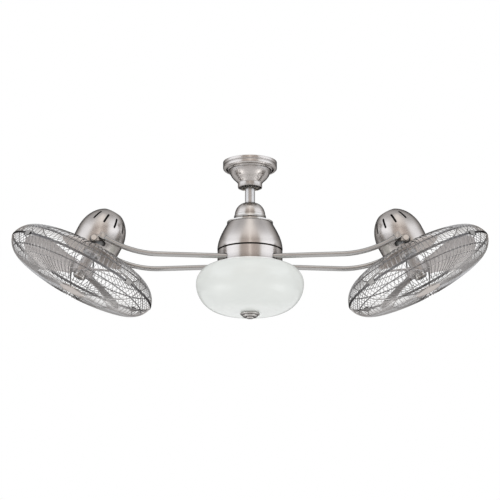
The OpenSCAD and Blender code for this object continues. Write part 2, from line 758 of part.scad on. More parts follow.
module guard_frame(hoops, plate_r, hole_r, r, lean, turn, dome) {
    flat = guard_flat(r, lean, turn, dome) - plate_drop;
    hoop(rim_r, rim_z, rim_d);
    for (p = hoops) hoop(p, guard_h(p, r, lean, turn, dome), hoop_d);
    difference() {
        translate([0, 0, flat - plate_t]) cylinder(r = plate_r, h = plate_t);
        translate([0, 0, flat - plate_t - 1]) cylinder(r = hole_r, h = plate_t + 2);
    }
    for (i = [0:ribs - 1]) rotate([0, 0, (i + 0.5) * 360 / ribs])
        guard_wire(rib_d, rib_layer, r, lean, turn, dome, plate_r - tuck, 1);
}

module guard_wires(plate_r, r, lean, turn, dome)
    for (i = [0:wires - 1]) rotate([0, 0, (i + 0.5) * 360 / wires])
        guard_wire(wire_d, 0, r, lean, turn, dome, plate_r - tuck);

module rear_guard() color(nickel)
    guard_frame(rear_hoops, rear_plate_r, rear_hole_r, rear_round, rear_lean, rear_turn, rear_dome);

module rear_wires() color(bright)
    guard_wires(rear_plate_r, rear_round, rear_lean, rear_turn, rear_dome);

module front_guard() color(nickel) mirror([0, 0, 1])
    guard_frame(front_hoops, front_plate_r, tiny, front_round, front_lean, front_turn, front_dome);

module front_wires() color(bright) mirror([0, 0, 1])
    guard_wires(front_plate_r, front_round, front_lean, front_turn, front_dome);

// Spring clips that hold the two rims together
module guard_clips() color(bright) for (i = [0:clips - 1])
    rotate([0, 0, (i + 0.5) * 360 / clips - 2.5]) rotate_extrude(angle = 5) translate([rim_r, 0]) difference() {
        translate([-rim_d / 2 - 1, -2 * rim_z - 1.6]) square([rim_d + 2.6, 4 * rim_z + 3.2]);
        translate([-rim_d / 2 - 2, -2 * rim_z - seat]) square([rim_d + 2 + seat, 4 * rim_z + 2 * seat]);
    }

// ---- blades
// A blade is a piece of curved sheet: a thin tube, askew to the blade's length, cut to a paddle outline
function ease(t) = let (u = min(max(t, 0), 1)) u * u * (3 - 2 * u);
function tip_round(u) = u < 0.66 ? 1 : sqrt(1 - pow((u - 0.66) / 0.34, 2));
function half_chord(u) = (23 + (blade_chord / 2 - 23) * ease(1.6 * u)) * tip_round(u);

module paddle() {
    run = blade_tip_r - blade_root_r;
    steps = [for (k = [0:20]) 1 - pow(1 - k / 20, 1.5)];
    polygon(concat([for (u = steps) [blade_root_r + u * run, half_chord(u)]],
                   [for (k = [19:-1:0]) [blade_root_r + steps[k] * run, -half_chord(steps[k])]]));
}

module blade_sheet() {
    run = blade_tip_r - blade_root_r;
    swing = blade_bow * (sin(root_pitch) - sin(tip_pitch)) / run;
    fall = blade_bow * (cos(tip_pitch) - cos(root_pitch)) / run;
    translate([blade_root_r, blade_bow * sin(root_pitch), blade_mid - blade_bow * cos(root_pitch)])
        rotate([0, atan(fall), 0]) rotate([0, 0, -atan(swing)]) difference() {
            rod_x(blade_bow + blade_t / 2, -run, 2 * run);
            rod_x(blade_bow - blade_t / 2, -run - 1, 2 * run + 1);
        }
}

module blade() intersection() {
    translate([0, 0, blade_mid - blade_chord / 2]) linear_extrude(blade_chord) paddle();
    blade_sheet();
}

module fan_blades() color(nickel) difference() {
    union() {
        for (i = [0:blades - 1]) rotate([0, 0, i * 360 / blades + blade_clock]) blade();
        translate([0, 0, hub_low]) cylinder(r = hub_r, h = 20);
        translate([0, 0, hub_low]) cylinder(r = 14, h = hub_top - hub_low);
    }
    translate([0, 0, hub_low - 1]) cylinder(r = motor_shaft_r, h = hub_top - hub_low + 2);
}

module blade_nut() color(bright) difference() {
    translate([0, 0, hub_low - seat]) rotate_extrude() polygon(concat(
        [[0, 0], [16, 0], [16, -3]], arc([10, -8], 6, 20, -90, 6), [[0, -14]]));
    translate([0, 0, -14]) cylinder(r = motor_shaft_r, h = 20);
}

// ---- light
module light_pan() color(nickel) difference() {
    union() {
        drum(bowl_r - bowl_round_top + 1, pan_bottom - pan_t, pan_bottom);
        drum(cup_r, pan_bottom - tiny, pan_bottom + cup_depth);
    }
    drum(shaft_r + running, pan_bottom - pan_t - 1, pan_bottom + 8 + seat);
    drum(cup_r - 2, pan_bottom + 8, pan_bottom + cup_depth - 2.5);
    drum(bowl_rod_r, pan_bottom, pan_bottom + cup_depth + 1);
}

module bowl_rod() color(steel) {
    drum(bowl_rod_r, pan_bottom + cup_depth - 6, finial_top + finial_h - 3);
    translate([0, 0, -pan_bottom - cup_depth + 2.5]) cylinder(r = 6, h = 3, $fn = 6);
}

module lamp_holders() color(nylon) both_x() difference() {
    union() {
        translate([0, 0, -lamp_drop]) rod_x(holder_r, holder_in, holder_out);
        translate([holder_in, -10, -lamp_drop]) cube([4, 20, lamp_drop - pan_bottom]);
    }
    translate([0, 0, -lamp_drop]) rod_x(holder_r - 2, holder_in + 6, holder_out + 1);
}

module lamps() color(opal) both_x() translate([0, 0, -lamp_drop]) rotate([0, 90, 0]) {
    neck = holder_r - 2 - running;
    globe = lamp_out - lamp_r;
    rotate_extrude() polygon(concat(
        [[0, holder_in + 8], [neck - 1, holder_in + 8], [neck, holder_in + 9], [neck, holder_out + 3]],
        arc([0, globe], lamp_r, -50, 89, 12), [[0, lamp_out]]));
}

module glass_bowl() {
    edge = bowl_r - bowl_round_top;
    low = bowl_r - bowl_round_low;
    wall = concat(arc([edge, -bowl_mid], bowl_round_top, 90, 0, 14),
                  [for (i = [1:14]) [low + bowl_round_low * cos(-90 * i / 14),
                                     -bowl_mid + bowl_round_low * sin(-90 * i / 14)]],
                  [for (i = [1:4]) let (r = low * (1 - i / 4) + 5 * i / 4)
                      [r, -bowl_low - (bowl_belly - bowl_low) * cos(90 * r / low)]]);
    color(opal) rotate_extrude() polygon(walled(wall, glass));
}

module bowl_washers() color(dark) {
    ring(washer_r, bowl_rod_r + running, bowl_belly - glass - 1.3, bowl_belly - glass - seat);
    ring(washer_r, bowl_rod_r + running, bowl_belly + seat, finial_top - 0.1);
}

module finial() color(bright) difference() {
    translate([0, 0, -finial_top]) rotate_extrude() polygon(concat(
        [[0, 0], [finial_r - 1, 0]], arc([finial_r - 2, -2], 2, 90, -60, 5),
        [[finial_r - 5, -4.5]], arc([finial_r - 8, -6.5], 3, 30, -60, 4),
        [[10, -finial_h + 4]], arc([7, -finial_h + 3], 3, 0, -90, 4), [[0, -finial_h]]));
    drum(bowl_rod_r, finial_top - 1, finial_top + finial_h - 3);
}

hanger_bracket();
canopy();
canopy_ring();
canopy_screws();
hanger_ball();
rod_pins();
downrod();
yoke_cover();
collar_ring();
motor_coupler();
frame_bolts();
bell_housing();
core_plate();
hollow_shaft();
gearmotor();
bearing_inner_rings();
slip_rings();
light_pan();
lamp_holders();
lamps();
bowl_rod();
glass_bowl();
bowl_washers();
finial();
drive_pinion();
hub_core();
hub_band();
ring_gear();
bearing_outer_rings();
bearing_balls();
brush_block();
arm_screws();
arm(-1, -1);  // front_left_arm
arm(-1, 1);  // rear_left_arm
arm(1, -1);  // front_right_arm
arm(1, 1);  // rear_right_arm
on_head(-1) motor_frame();  // left_motor_frame
on_head(-1) motor_shell();  // left_motor_shell
on_head(-1) pivot_bolts();  // left_pivot_bolts
on_head(-1) stator();  // left_stator
on_head(-1) rear_guard();  // left_rear_guard
on_head(-1) rear_wires();  // left_rear_wires
on_head(-1) front_guard();  // left_front_guard
on_head(-1) front_wires();  // left_front_wires
on_head(-1) guard_clips();  // left_guard_clips
on_head(-1) rotor_shaft();  // left_rotor_shaft
on_head(-1) fan_blades();  // left_blades
on_head(-1) blade_nut();  // left_blade_nut
on_head(1) motor_frame();  // right_motor_frame
on_head(1) motor_shell();  // right_motor_shell
on_head(1) pivot_bolts();  // right_pivot_bolts
on_head(1) stator();  // right_stator
on_head(1) rear_guard();  // right_rear_guard
on_head(1) rear_wires();  // right_rear_wires
on_head(1) front_guard();  // right_front_guard
on_head(1) front_wires();  // right_front_wires
on_head(1) guard_clips();  // right_guard_clips
on_head(1) rotor_shaft();  // right_rotor_shaft
on_head(1) fan_blades();  // right_blades
on_head(1) blade_nut();  // right_blade_nut
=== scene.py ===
import math

import bmesh
import bpy
from mathutils import Matrix, Vector


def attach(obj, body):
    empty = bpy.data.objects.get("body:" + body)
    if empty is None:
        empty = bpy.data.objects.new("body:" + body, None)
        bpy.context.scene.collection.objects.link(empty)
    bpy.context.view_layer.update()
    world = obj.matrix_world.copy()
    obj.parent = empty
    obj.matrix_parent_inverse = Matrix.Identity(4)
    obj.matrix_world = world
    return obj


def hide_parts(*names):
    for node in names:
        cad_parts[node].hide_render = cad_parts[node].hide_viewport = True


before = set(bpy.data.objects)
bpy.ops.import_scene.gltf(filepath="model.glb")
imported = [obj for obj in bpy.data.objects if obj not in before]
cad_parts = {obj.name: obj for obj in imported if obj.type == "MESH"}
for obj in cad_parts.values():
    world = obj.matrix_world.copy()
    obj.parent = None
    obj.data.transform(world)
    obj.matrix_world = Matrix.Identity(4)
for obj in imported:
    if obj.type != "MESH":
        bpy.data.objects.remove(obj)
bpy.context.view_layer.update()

# Meshes are made in millimetres. Materials, floor, lights and camera are given in metres.
MM = 0.001
SHEET = 1.2             # thickness of the pressed covers
SIDES = (("left", -1), ("right", 1))

# A head leans on pivot bolts at PIVOT_X from the fan's axis and PIVOT_Z under the ceiling. In the head's
# own frame they lie PIVOT_H over the plane where its two guards meet. TILT is its lean at rest.
PIVOT_X, PIVOT_Z, PIVOT_H, TILT = 392.0, 221.0, 77.0, 27.0


def cosd(a):
    return math.cos(math.radians(a))


def sind(a):
    return math.sin(math.radians(a))


def steps(a, b, n):
    """The n + 1 values from a to b."""
    return [a + (b - a) * i / n for i in range(n + 1)]


# ---------------------------------------------------------------- materials

NOISE_LOW, NOISE_HIGH = 0.25, 0.75      # nearly all values of the noise lie between these
CLOUD = (14.0, 14.0, 14.0)              # scale of the cloudiness, per metre


def node_tree(name):
    m = bpy.data.materials.new(name)
    m.use_nodes = True
    return m, m.node_tree.nodes, m.node_tree.links, m.node_tree.nodes["Principled BSDF"]


def streaks(nodes, links, scale, detail=6.0, rough=0.65, lean=0):
    """Noise drawn out along the directions whose scale is low, as a brush leaves it.

    scale is per metre along X, Y and Z. lean is -1 or 1 for marks that follow the place and the tilt of
    the left or the right head.
    """
    coord = nodes.new("ShaderNodeTexCoord")
    mapping = nodes.new("ShaderNodeMapping")
    mapping.vector_type = "TEXTURE"
    mapping.inputs["Scale"].default_value = [1.0 / k for k in scale]
    if lean:
        mapping.inputs["Location"].default_value = (lean * PIVOT_X * MM, 0, -PIVOT_Z * MM)
        mapping.inputs["Rotation"].default_value = (0, math.radians(-lean * TILT), 0)
    noise = nodes.new("ShaderNodeTexNoise")
    noise.inputs["Scale"].default_value = 1.0
    noise.inputs["Detail"].default_value = detail
    noise.inputs["Roughness"].default_value = rough
    links.new(coord.outputs["Object"], mapping.inputs["Vector"])
    links.new(mapping.outputs["Vector"], noise.inputs["Vector"])
    return noise.outputs["Fac"]


def ramp(nodes, links, fac, stops):
    """A colour ramp over fac. A stop is a position with a colour or a grey."""
    r = nodes.new("ShaderNodeValToRGB")
    while len(r.color_ramp.elements) < len(stops):
        r.color_ramp.elements.new(0.5)
    for e, (pos, col) in zip(r.color_ramp.elements, stops):
        e.position = pos
        e.color = (*col, 1.0) if isinstance(col, tuple) else (col, col, col, 1.0)
    links.new(fac, r.inputs["Fac"])
    return r.outputs["Color"]


def spread(nodes, links, fac, low, high):
    """A noise fac spread out between low and high."""
    m = nodes.new("ShaderNodeMapRange")
    m.inputs["From Min"].default_value = NOISE_LOW
    m.inputs["From Max"].default_value = NOISE_HIGH
    m.inputs["To Min"].default_value = low
    m.inputs["To Max"].default_value = high
    links.new(fac, m.inputs["Value"])
    return m.outputs["Result"]


def finish_of(name, colour, scale, rough, metallic=1.0, bump=0.06, depth=0.0002, tint=0.07, coat=0.0,
              lean=0, edge=1.0, lathe=0.0, crevice_shade=0.0):
    """A surface with brush or casting marks, a faint cloudiness in its colour and matching bump.

    rough is the range of the roughness and tint the share by which the colour varies. edge darkens a
    metal at grazing angles, lathe is the pull of circular marks round Z on the reflections, and the last
    argument is the reach in metres of painted shade that darkens the colour in narrow joints and crevices.
    """
    m, nodes, links, p = node_tree(name)
    marks = streaks(nodes, links, scale, lean=lean)
    clouds = streaks(nodes, links, CLOUD, 4.0, 0.5)
    both = nodes.new("ShaderNodeMath")
    both.operation = "MULTIPLY_ADD"
    both.inputs[1].default_value = 0.5
    half = nodes.new("ShaderNodeMath")
    half.operation = "MULTIPLY"
    half.inputs[1].default_value = 0.5
    links.new(clouds, half.inputs[0])
    links.new(marks, both.inputs[0])
    links.new(half.outputs[0], both.inputs[2])
    dark = tuple(c * (1 - tint) for c in colour)
    light = tuple(min(1.0, c * (1 + tint)) for c in colour)
    tone = ramp(nodes, links, both.outputs[0], [(0.3, dark), (0.5, colour), (0.7, light)])
    # Painted shade: ambient occlusion darkens the base colour in narrow joints and crevices, where shade
    # falls.
    if crevice_shade:
        ao_painted_shade = nodes.new("ShaderNodeAmbientOcclusion")
        ao_painted_shade.samples = 8
        ao_painted_shade.inputs["Distance"].default_value = crevice_shade
        links.new(tone, ao_painted_shade.inputs["Color"])
        tone = ao_painted_shade.outputs["Color"]
    links.new(tone, p.inputs["Base Color"])
    p.inputs["Specular Tint"].default_value = (edge, edge, edge, 1.0)
    if lathe:
        p.inputs["Anisotropic"].default_value = lathe
        p.inputs["Anisotropic Rotation"].default_value = 0.25
        around = nodes.new("ShaderNodeTangent")
        around.direction_type, around.axis = "RADIAL", "Z"
        links.new(around.outputs[0], p.inputs["Tangent"])
    links.new(spread(nodes, links, marks, *rough), p.inputs["Roughness"])
    p.inputs["Metallic"].default_value = metallic
    p.inputs["Coat Weight"].default_value = coat
    b = nodes.new("ShaderNodeBump")
    b.inputs["Strength"].default_value = bump
    b.inputs["Distance"].default_value = depth
    links.new(marks, b.inputs["Height"])
    links.new(b.outputs["Normal"], p.inputs["Normal"])
    return m


def grain(k):
    """The scale of marks without a direction."""
    return (k, k, k)


NICKEL = (0.51, 0.48, 0.455)
ROUND_Z = (9, 9, 1000)                  # fine lines round a vertical axis

turned_nickel = finish_of("nickel_turned", NICKEL, ROUND_Z, (0.16, 0.26), bump=0.04, edge=0.38, lathe=0.6,
                          crevice_shade=0.009)
# The band's painted shade reaches further, so that its lower edge over the bowl is darkened as a shadow
# would darken it.
band_nickel = finish_of("nickel_band", NICKEL, ROUND_Z, (0.16, 0.26), bump=0.04, edge=0.38, lathe=0.6,
                        crevice_shade=0.018)
rod_nickel = finish_of("nickel_rod", (0.47, 0.46, 0.45), (900, 900, 9), (0.26, 0.36), bump=0.04, edge=0.4,
                       crevice_shade=0.006)
head_nickel = {sx: finish_of(f"nickel_head_{side}", NICKEL, ROUND_Z, (0.20, 0.30), bump=0.05, lean=sx,
                             edge=0.3, crevice_shade=0.009) for side, sx in SIDES}
drawn_nickel = finish_of("nickel_drawn", (0.45, 0.44, 0.425), (12, 900, 900), (0.14, 0.22), bump=0.05,
                         edge=0.3, crevice_shade=0.006)
wire_nickel = finish_of("nickel_wire", (0.42, 0.41, 0.40), grain(260), (0.16, 0.28), bump=0.03, edge=0.12)
rim_nickel = finish_of("nickel_rim", (0.20, 0.195, 0.195), grain(200), (0.14, 0.24), bump=0.03, edge=0.2)
clip_nickel = finish_of("nickel_clip", (0.36, 0.35, 0.335), grain(200), (0.36, 0.50), bump=0.05, edge=0.2)
plate_nickel = finish_of("nickel_plate", (0.74, 0.68, 0.63), (30, 30, 900), (0.34, 0.46), bump=0.06)
bright_nickel = finish_of("nickel_bright", (0.54, 0.52, 0.495), (30, 30, 900), (0.08, 0.16), bump=0.03,
                          tint=0.04, edge=0.3, crevice_shade=0.006)
blade_nickel = finish_of("nickel_blade", (0.48, 0.455, 0.44), (40, 40, 900), (0.34, 0.46), 0.9, 0.08)
zinc = finish_of("zinc_plate", (0.40, 0.405, 0.42), grain(220), (0.44, 0.60), bump=0.10, tint=0.12)
cast = finish_of("cast_aluminium", (0.58, 0.58, 0.58), grain(480), (0.42, 0.60), bump=0.35, tint=0.10)
# Painted shade: the hub core is a real casting, coloured near black so that the seam in front of it reads
# as a shaded gap.
seam_shade_cast = finish_of("casting_painted_seam_shade", (0.03, 0.03, 0.03), grain(480), (0.50, 0.66), 0.0, 0.35,
                       tint=0.15)
ground = finish_of("ground_steel", (0.66, 0.66, 0.67), (60, 60, 1400), (0.08, 0.18), bump=0.04, tint=0.05)
brass = finish_of("cut_brass", (0.72, 0.55, 0.26), (120, 120, 1200), (0.20, 0.34), bump=0.08)
black_can = finish_of("black_lacquer", (0.025, 0.025, 0.028), grain(300), (0.28, 0.40), 0.0, 0.08, coat=0.4)
# Painted shade: near black for the motor end bell behind the vents, so that the vents read dark.
vent_shade_black = finish_of("bell_painted_vent_shade", (0.010, 0.010, 0.011), grain(300), (0.55, 0.70), 0.0, 0.08)
nylon = finish_of("moulded_nylon", (0.78, 0.75, 0.66), grain(420), (0.40, 0.55), 0.0, 0.12, tint=0.05)
dark_plastic = finish_of("moulded_dark", (0.05, 0.05, 0.05), grain(520), (0.42, 0.58), 0.0, 0.15)
rubber = finish_of("washer_rubber", (0.035, 0.035, 0.035), grain(380), (0.60, 0.80), 0.0, 0.20)
enamel = finish_of("white_enamel", (0.84, 0.84, 0.82), grain(150), (0.16, 0.26), 0.0, 0.10, tint=0.03,
                   coat=0.5)
porcelain = finish_of("glazed_porcelain", (0.86, 0.85, 0.81), grain(90), (0.10, 0.18), 0.0, 0.05, tint=0.03,
                      coat=0.6)
frosted = finish_of("frosted_glass", (0.88, 0.87, 0.83), grain(600), (0.34, 0.46), 0.0, 0.10, tint=0.02)
copper = finish_of("wound_copper", (0.56, 0.25, 0.11), (30, 30, 2600), (0.26, 0.40), bump=0.60,
                   depth=0.0005)

# The opal glass has a painted glow: it gives off light of its own that evens out its shading, though the
# lamps behind it give none. It also spreads the light that falls on it
opal = finish_of("opal_glass", (0.33, 0.34, 0.33), (26, 26, 38), (0.10, 0.15), 0.0, 0.015, tint=0.02,
                 coat=0.06)
painted_glow = opal.node_tree.nodes["Principled BSDF"]
painted_glow.inputs["Subsurface Weight"].default_value = 0.25
painted_glow.inputs["Subsurface Radius"].default_value = (0.02, 0.02, 0.02)
painted_glow.inputs["Subsurface Scale"].default_value = 1.0
painted_glow.inputs["Emission Color"].default_value = (0.80, 0.825, 0.79, 1.0)
painted_glow.inputs["Emission Strength"].default_value = 0.40

# ---------------------------------------------------------------- mesh helpers

# A part is its vertices and its faces. An outline is a list of points (radius, height) or (across, up).


def tidy_mesh(me, weld):
    """Vertices nearer to each other than weld become one, and all faces look outwards."""
    bm = bmesh.new()
    bm.from_mesh(me)
    bmesh.ops.remove_doubles(bm, verts=bm.verts, dist=weld)
    bmesh.ops.recalc_face_normals(bm, faces=bm.faces)
    bm.to_mesh(me)
    bm.free()


def piece(name, verts, faces, mat, body, slot, replaces=(), matrix=None, sharp=32, mirror=False):
    """A mesh in millimetres, welded, shaded smooth up to the angle sharp, in place on its body."""
    me = bpy.data.meshes.new(name)
    k = -1 if mirror else 1
    me.from_pydata([(x * MM * k, y * MM, z * MM) for x, y, z in verts], [], faces)
    if matrix is not None:
        me.transform(matrix)
    tidy_mesh(me, 2e-6)
    me.polygons.foreach_set("use_smooth", [True] * len(me.polygons))
    me.set_sharp_from_angle(angle=math.radians(sharp))
    me.materials.append(mat)
    ob = bpy.data.objects.new(name, me)
    bpy.context.scene.collection.objects.link(ob)
    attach(ob, body)
    if replaces:
        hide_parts(*replaces)
    return ob


def join(*parts):
    verts, faces = [], []
    for v, f in parts:
        n = len(verts)
        verts += v
        faces += [tuple(i + n for i in q) for q in f]
    return verts, faces


def moved(part, m):
    return [tuple(m @ Vector(v)) for v in part[0]], part[1]


def turned(part, angle):
    c, s = cosd(angle), sind(angle)
    return [(x * c - y * s, x * s + y * c, z) for x, y, z in part[0]], part[1]


def upside_down(part):
    return [(x, y, -z) for x, y, z in part[0]], part[1]


def arc(c, r, a0, a1, n):
    return [(c[0] + r * cosd(a), c[1] + r * sind(a)) for a in steps(a0, a1, n)]


def walled(p, t):
    """The outline p, drawn from top to bottom, with a wall of thickness t inside it."""
    inner = []
    for i in range(len(p)):
        a, b = p[max(i - 1, 0)], p[min(i + 1, len(p) - 1)]
        dx, dz = b[0] - a[0], b[1] - a[1]
        k = math.hypot(dx, dz)
        inner.append((max(p[i][0] + t * dz / k, 0.0), p[i][1] - t * dx / k))
    return p + inner[::-1]


def lathe(profile, n=144):
    """A closed outline turned round Z."""
    verts = [(r * math.cos(2 * math.pi * k / n), r * math.sin(2 * math.pi * k / n), z)
             for k in range(n) for r, z in profile]
    m = len(profile)
    faces = [(k * m + i, ((k + 1) % n) * m + i, ((k + 1) % n) * m + (i + 1) % m, k * m + (i + 1) % m)
             for k in range(n) for i in range(m)
             if profile[i][0] > 1e-6 or profile[(i + 1) % m][0] > 1e-6]
    return verts, faces


def skin(rings, sides, closed):
    """Faces between rings of vertices that follow each other, back to the first one if closed."""
    faces = []
    for i in range(rings if closed else rings - 1):
        a, b = i * sides, (i + 1) % rings * sides
        for k in range(sides):
            after = (k + 1) % sides
            faces.append((a + k, b + k, b + after, a + after))
    return faces


def tube(points, r, sides):
    """A round bar along points, whose cross section turns as little as it can."""
    pts = [Vector(p) for p in points]
    n = len(pts)
    dirs = [(pts[min(i + 1, n - 1)] - pts[max(i - 1, 0)]).normalized() for i in range(n)]
    side = dirs[0].orthogonal().normalized()
    verts = []
    for p, d in zip(pts, dirs):
        side = (side - d * side.dot(d)).normalized()
        up = d.cross(side)
        for k in range(sides):
            a = 2 * math.pi * k / sides
            verts.append(tuple(p + side * (r * math.cos(a)) + up * (r * math.sin(a))))
    ends = [tuple(range(sides))[::-1], tuple((n - 1) * sides + k for k in range(sides))]
    return verts, skin(n, sides, False) + ends


def hoop(r, h, d, n, sides):
    """A ring of radius r at height h, of round wire of thickness d."""
    verts = []
    for a in (2 * math.pi * i / n for i in range(n)):
        for b in (2 * math.pi * k / sides for k in range(sides)):
            out = r + d / 2 * math.cos(b)
            verts.append((out * math.cos(a), out * math.sin(a), h + d / 2 * math.sin(b)))
    return verts, skin(n, sides, True)


def rounded_box(lo, hi, cut=1.4):
    """A block with its edges rounded in three facets."""
    bm = bmesh.new()
    bmesh.ops.create_cube(bm, size=1.0)
    for v in bm.verts:
        v.co = Vector([lo[i] + (hi[i] - lo[i]) * (v.co[i] + 0.5) for i in range(3)])
    bmesh.ops.bevel(bm, geom=bm.edges[:], offset=cut, segments=3, profile=0.5, affect="EDGES")
    out = [tuple(v.co) for v in bm.verts], [tuple(v.index for v in f.verts) for f in bm.faces]
    bm.free()
    return out


def slab(outline, y0, y1, cut=0.8):
    """An outline in X and Z between two depths in Y, with its edges eased."""
    n = len(outline)
    cx = sum(x for x, z in outline) / n
    cz = sum(z for x, z in outline) / n

    def ring(y, k):
        out = []
        for x, z in outline:
            d = math.hypot(x - cx, z - cz)
            out.append((cx + (x - cx) * (d - k) / d, y, cz + (z - cz) * (d - k) / d))
        return out
    verts = ring(y0, cut) + ring(y0 + cut, 0) + ring(y1 - cut, 0) + ring(y1, cut)
    faces = [(j * n + i, j * n + (i + 1) % n, (j + 1) * n + (i + 1) % n, (j + 1) * n + i)
             for j in range(3) for i in range(n)]
    faces += [tuple(range(n))[::-1], tuple(3 * n + i for i in range(n))]
    return verts, faces


def prism(outline, depth0, depth1):
    """An outline of (across, up) pushed out along +X."""
    n = len(outline)
    verts = [(depth0, a, b) for a, b in outline] + [(depth1, a, b) for a, b in outline]
    faces = [(i, (i + 1) % n, n + (i + 1) % n, n + i) for i in range(n)]
    return verts, faces + [tuple(range(n))[::-1], tuple(n + i for i in range(n))]


# ---------------------------------------------------------------- canopy

# The dome's radius at the ceiling, its depth, its mouth's radius and the arc of its belly, and the ring's
# radius, height, lower round and how deep its groove lies
CANOPY_R, DROP, MOUTH = 60.5, 69.0, 31.0
BELLY_AT, BELLY_R = (13, -16.5), 40.5
RING_R, RING_H, RING_ROUND, GROOVE = 69.0, 21.0, 5.0, 9.9

dome = [(CANOPY_R, -0.5), (CANOPY_R, -RING_H + 5), (CANOPY_R - 0.6, -RING_H + 3),
        (CANOPY_R - 2, -RING_H + 1), (CANOPY_R - 5, -RING_H - 2)]
dome += arc(BELLY_AT, BELLY_R, -8, -44, 20)
dome += [(MOUTH + 2.5, -DROP + 16), (MOUTH + 0.6, -DROP + 13), (MOUTH, -DROP + 10),
         (MOUTH, -DROP + 1.4), (MOUTH - 0.4, -DROP + 0.4), (MOUTH - 1.2, -DROP)]
piece("canopy_shell", *lathe(walled(dome, SHEET)), turned_nickel, "ceiling_mount", "brushed_nickel",
      ["canopy"])

lip, top, hem, floor_in = CANOPY_R + 0.3, -0.4, -RING_H + 6, -RING_H + SHEET + 0.3
rim = [(RING_R - 1, top), (RING_R - 0.3, top - 0.3), (RING_R, top - 1)]
rim += [(RING_R - d, -GROOVE + h)
        for d, h in ((0, 1.4), (0.4, 0.7), (1, 0.4), (1, -0.4), (0.4, -0.7), (0, -1.4))]
rim += arc((RING_R - RING_ROUND, -RING_H + RING_ROUND), RING_ROUND, 0, -90, 12)
rim += [(lip + 0.4, -RING_H), (lip, -RING_H + 0.4), (lip, hem), (lip + SHEET, hem), (lip + SHEET, floor_in),
        (RING_R - RING_ROUND, floor_in), (RING_R - 3, -12), (RING_R - 3, top)]
piece("canopy_rim", *lathe(rim), turned_nickel, "ceiling_mount", "brushed_nickel", ["canopy_ring"])

# ---------------------------------------------------------------- yoke cover, collar and bell

# Tops and the bell's lower edge are depths under the ceiling
ROD_R, YOKE_R, YOKE_TOP, COLLAR_TOP = 12.7, 39.0, 111.0, 143.0
BELL_TOP, BELL_LOW, BELL_R, BELL_TOP_R, BELL_BORE = 166.0, 235.0, 83.0, 58.0, 14.0

bore = ROD_R + 0.3
cap = [(bore + (YOKE_R - bore) * sind(a), -COLLAR_TOP + (COLLAR_TOP - YOKE_TOP) * cosd(a))
       for a in steps(0, 90, 36)]
cap += [(YOKE_R, -COLLAR_TOP - 3)]
piece("yoke_dome", *lathe(walled(cap, SHEET)), turned_nickel, "hanging_frame", "brushed_nickel",
      ["yoke_cover"])

throat, foot = YOKE_R + 1.5, BELL_TOP_R + 0.6
flare = [(YOKE_R + 0.3, -COLLAR_TOP)]
flare += [(throat + (foot - throat) * (1 - cosd(a)),
           -COLLAR_TOP - 1 - (BELL_TOP - COLLAR_TOP - 6) * sind(a)) for a in steps(0, 90, 24)]
flare += [(foot, -BELL_TOP + 4), (foot, -BELL_TOP + 1), (foot - 0.3, -BELL_TOP + 0.5),
          (foot - 0.8, -BELL_TOP + 0.3), (foot - 4, -BELL_TOP + 0.3), (foot - 4, -BELL_TOP + 3),
          (YOKE_R + 4, -COLLAR_TOP - 12), (YOKE_R + 0.3, -COLLAR_TOP - 6)]
piece("collar_flare", *lathe(flare), bright_nickel, "hanging_frame", "bright_nickel", ["collar_ring"])

wall = [(BELL_TOP_R + (BELL_R - BELL_TOP_R) * sind(90 * (d - BELL_TOP) / (BELL_LOW - BELL_TOP)), -d)
        for d in steps(BELL_TOP, BELL_LOW, 48)]
roof = [(BELL_BORE, -BELL_TOP), (BELL_TOP_R - 0.1, -BELL_TOP), (BELL_TOP_R - 0.1, -BELL_TOP - SHEET),
        (BELL_BORE, -BELL_TOP - SHEET)]
piece("bell_shell", *join(lathe(walled(wall, SHEET)), lathe(roof)), turned_nickel, "hanging_frame",
      "brushed_nickel", ["bell_housing"])

# ---------------------------------------------------------------- bowl and finial

# The bowl's wall is rounded more tightly above its widest place than under it, and its bottom sags a little
BOWL_R, BOWL_TOP, ROUND_TOP, ROUND_LOW, GLASS, SAG, BOWL_HOLE = 136.7, 277.4, 45.0, 72.0, 3.5, 3.0, 5.0
mid = BOWL_TOP + ROUND_TOP
low, low_r = mid + ROUND_LOW, BOWL_R - ROUND_LOW
bowl = arc((BOWL_R - ROUND_TOP, -mid), ROUND_TOP, 90, 0, 32)
bowl += arc((low_r, -mid), ROUND_LOW, 0, -90, 48)[1:]
bowl += [(r, -low - SAG * cosd(90 * r / low_r)) for r in steps(low_r, BOWL_HOLE, 16)[1:]]
piece("opal_bowl", *lathe(walled(bowl, GLASS), 160), opal, "hanging_frame", "opal_glass", ["glass_bowl"],
      sharp=40)

FIN_R, FIN_H, FIN_BORE, FIN_GAP = 24.5, 13.5, 2.9, 1.4
fin_top = -(low + SAG + FIN_GAP)
fin = [(FIN_BORE, 0), (FIN_R - 1, 0)] + arc((FIN_R - 2, -2), 2, 60, -60, 10) + [(FIN_R - 5, -4.5)]
fin += arc((FIN_R - 8, -6.5), 3, 30, -60, 10) + [(10, -FIN_H + 4)] + arc((7, -FIN_H + 3), 3, 10, -90, 8)
fin += [(0, -FIN_H), (0, -FIN_H + 3), (FIN_BORE, -FIN_H + 3)]
piece("finial_cap", *lathe([(r, z + fin_top) for r, z in fin]), bright_nickel, "hanging_frame",
      "bright_nickel", ["finial"])

# ---------------------------------------------------------------- arms

# An arm starts at its root, runs out level, SPREAD degrees off the X axis, and from RISE_X bends up by BEND
# degrees. A block at its end carries a flat link to the pivot bolt.
ARM_D, ARM_DROP, ROOT_X, ROOT_Y, SPREAD = 12.7, 263.0, 30.0, 49.5, 6.5
RISE_X, BEND_R, BEND = 230.0, 250.0, 33.0
LINK_IN, LINK_T, LINK_R, KNUCKLE = 64.3, 9.0, 9.0, 15.5

run = (RISE_X - ROOT_X) / cosd(SPREAD)
end_run = run + BEND_R * sind(BEND)
end_rise = BEND_R * (1 - cosd(BEND))
end_x, end_y = ROOT_X + end_run * cosd(SPREAD), ROOT_Y + end_run * sind(SPREAD)


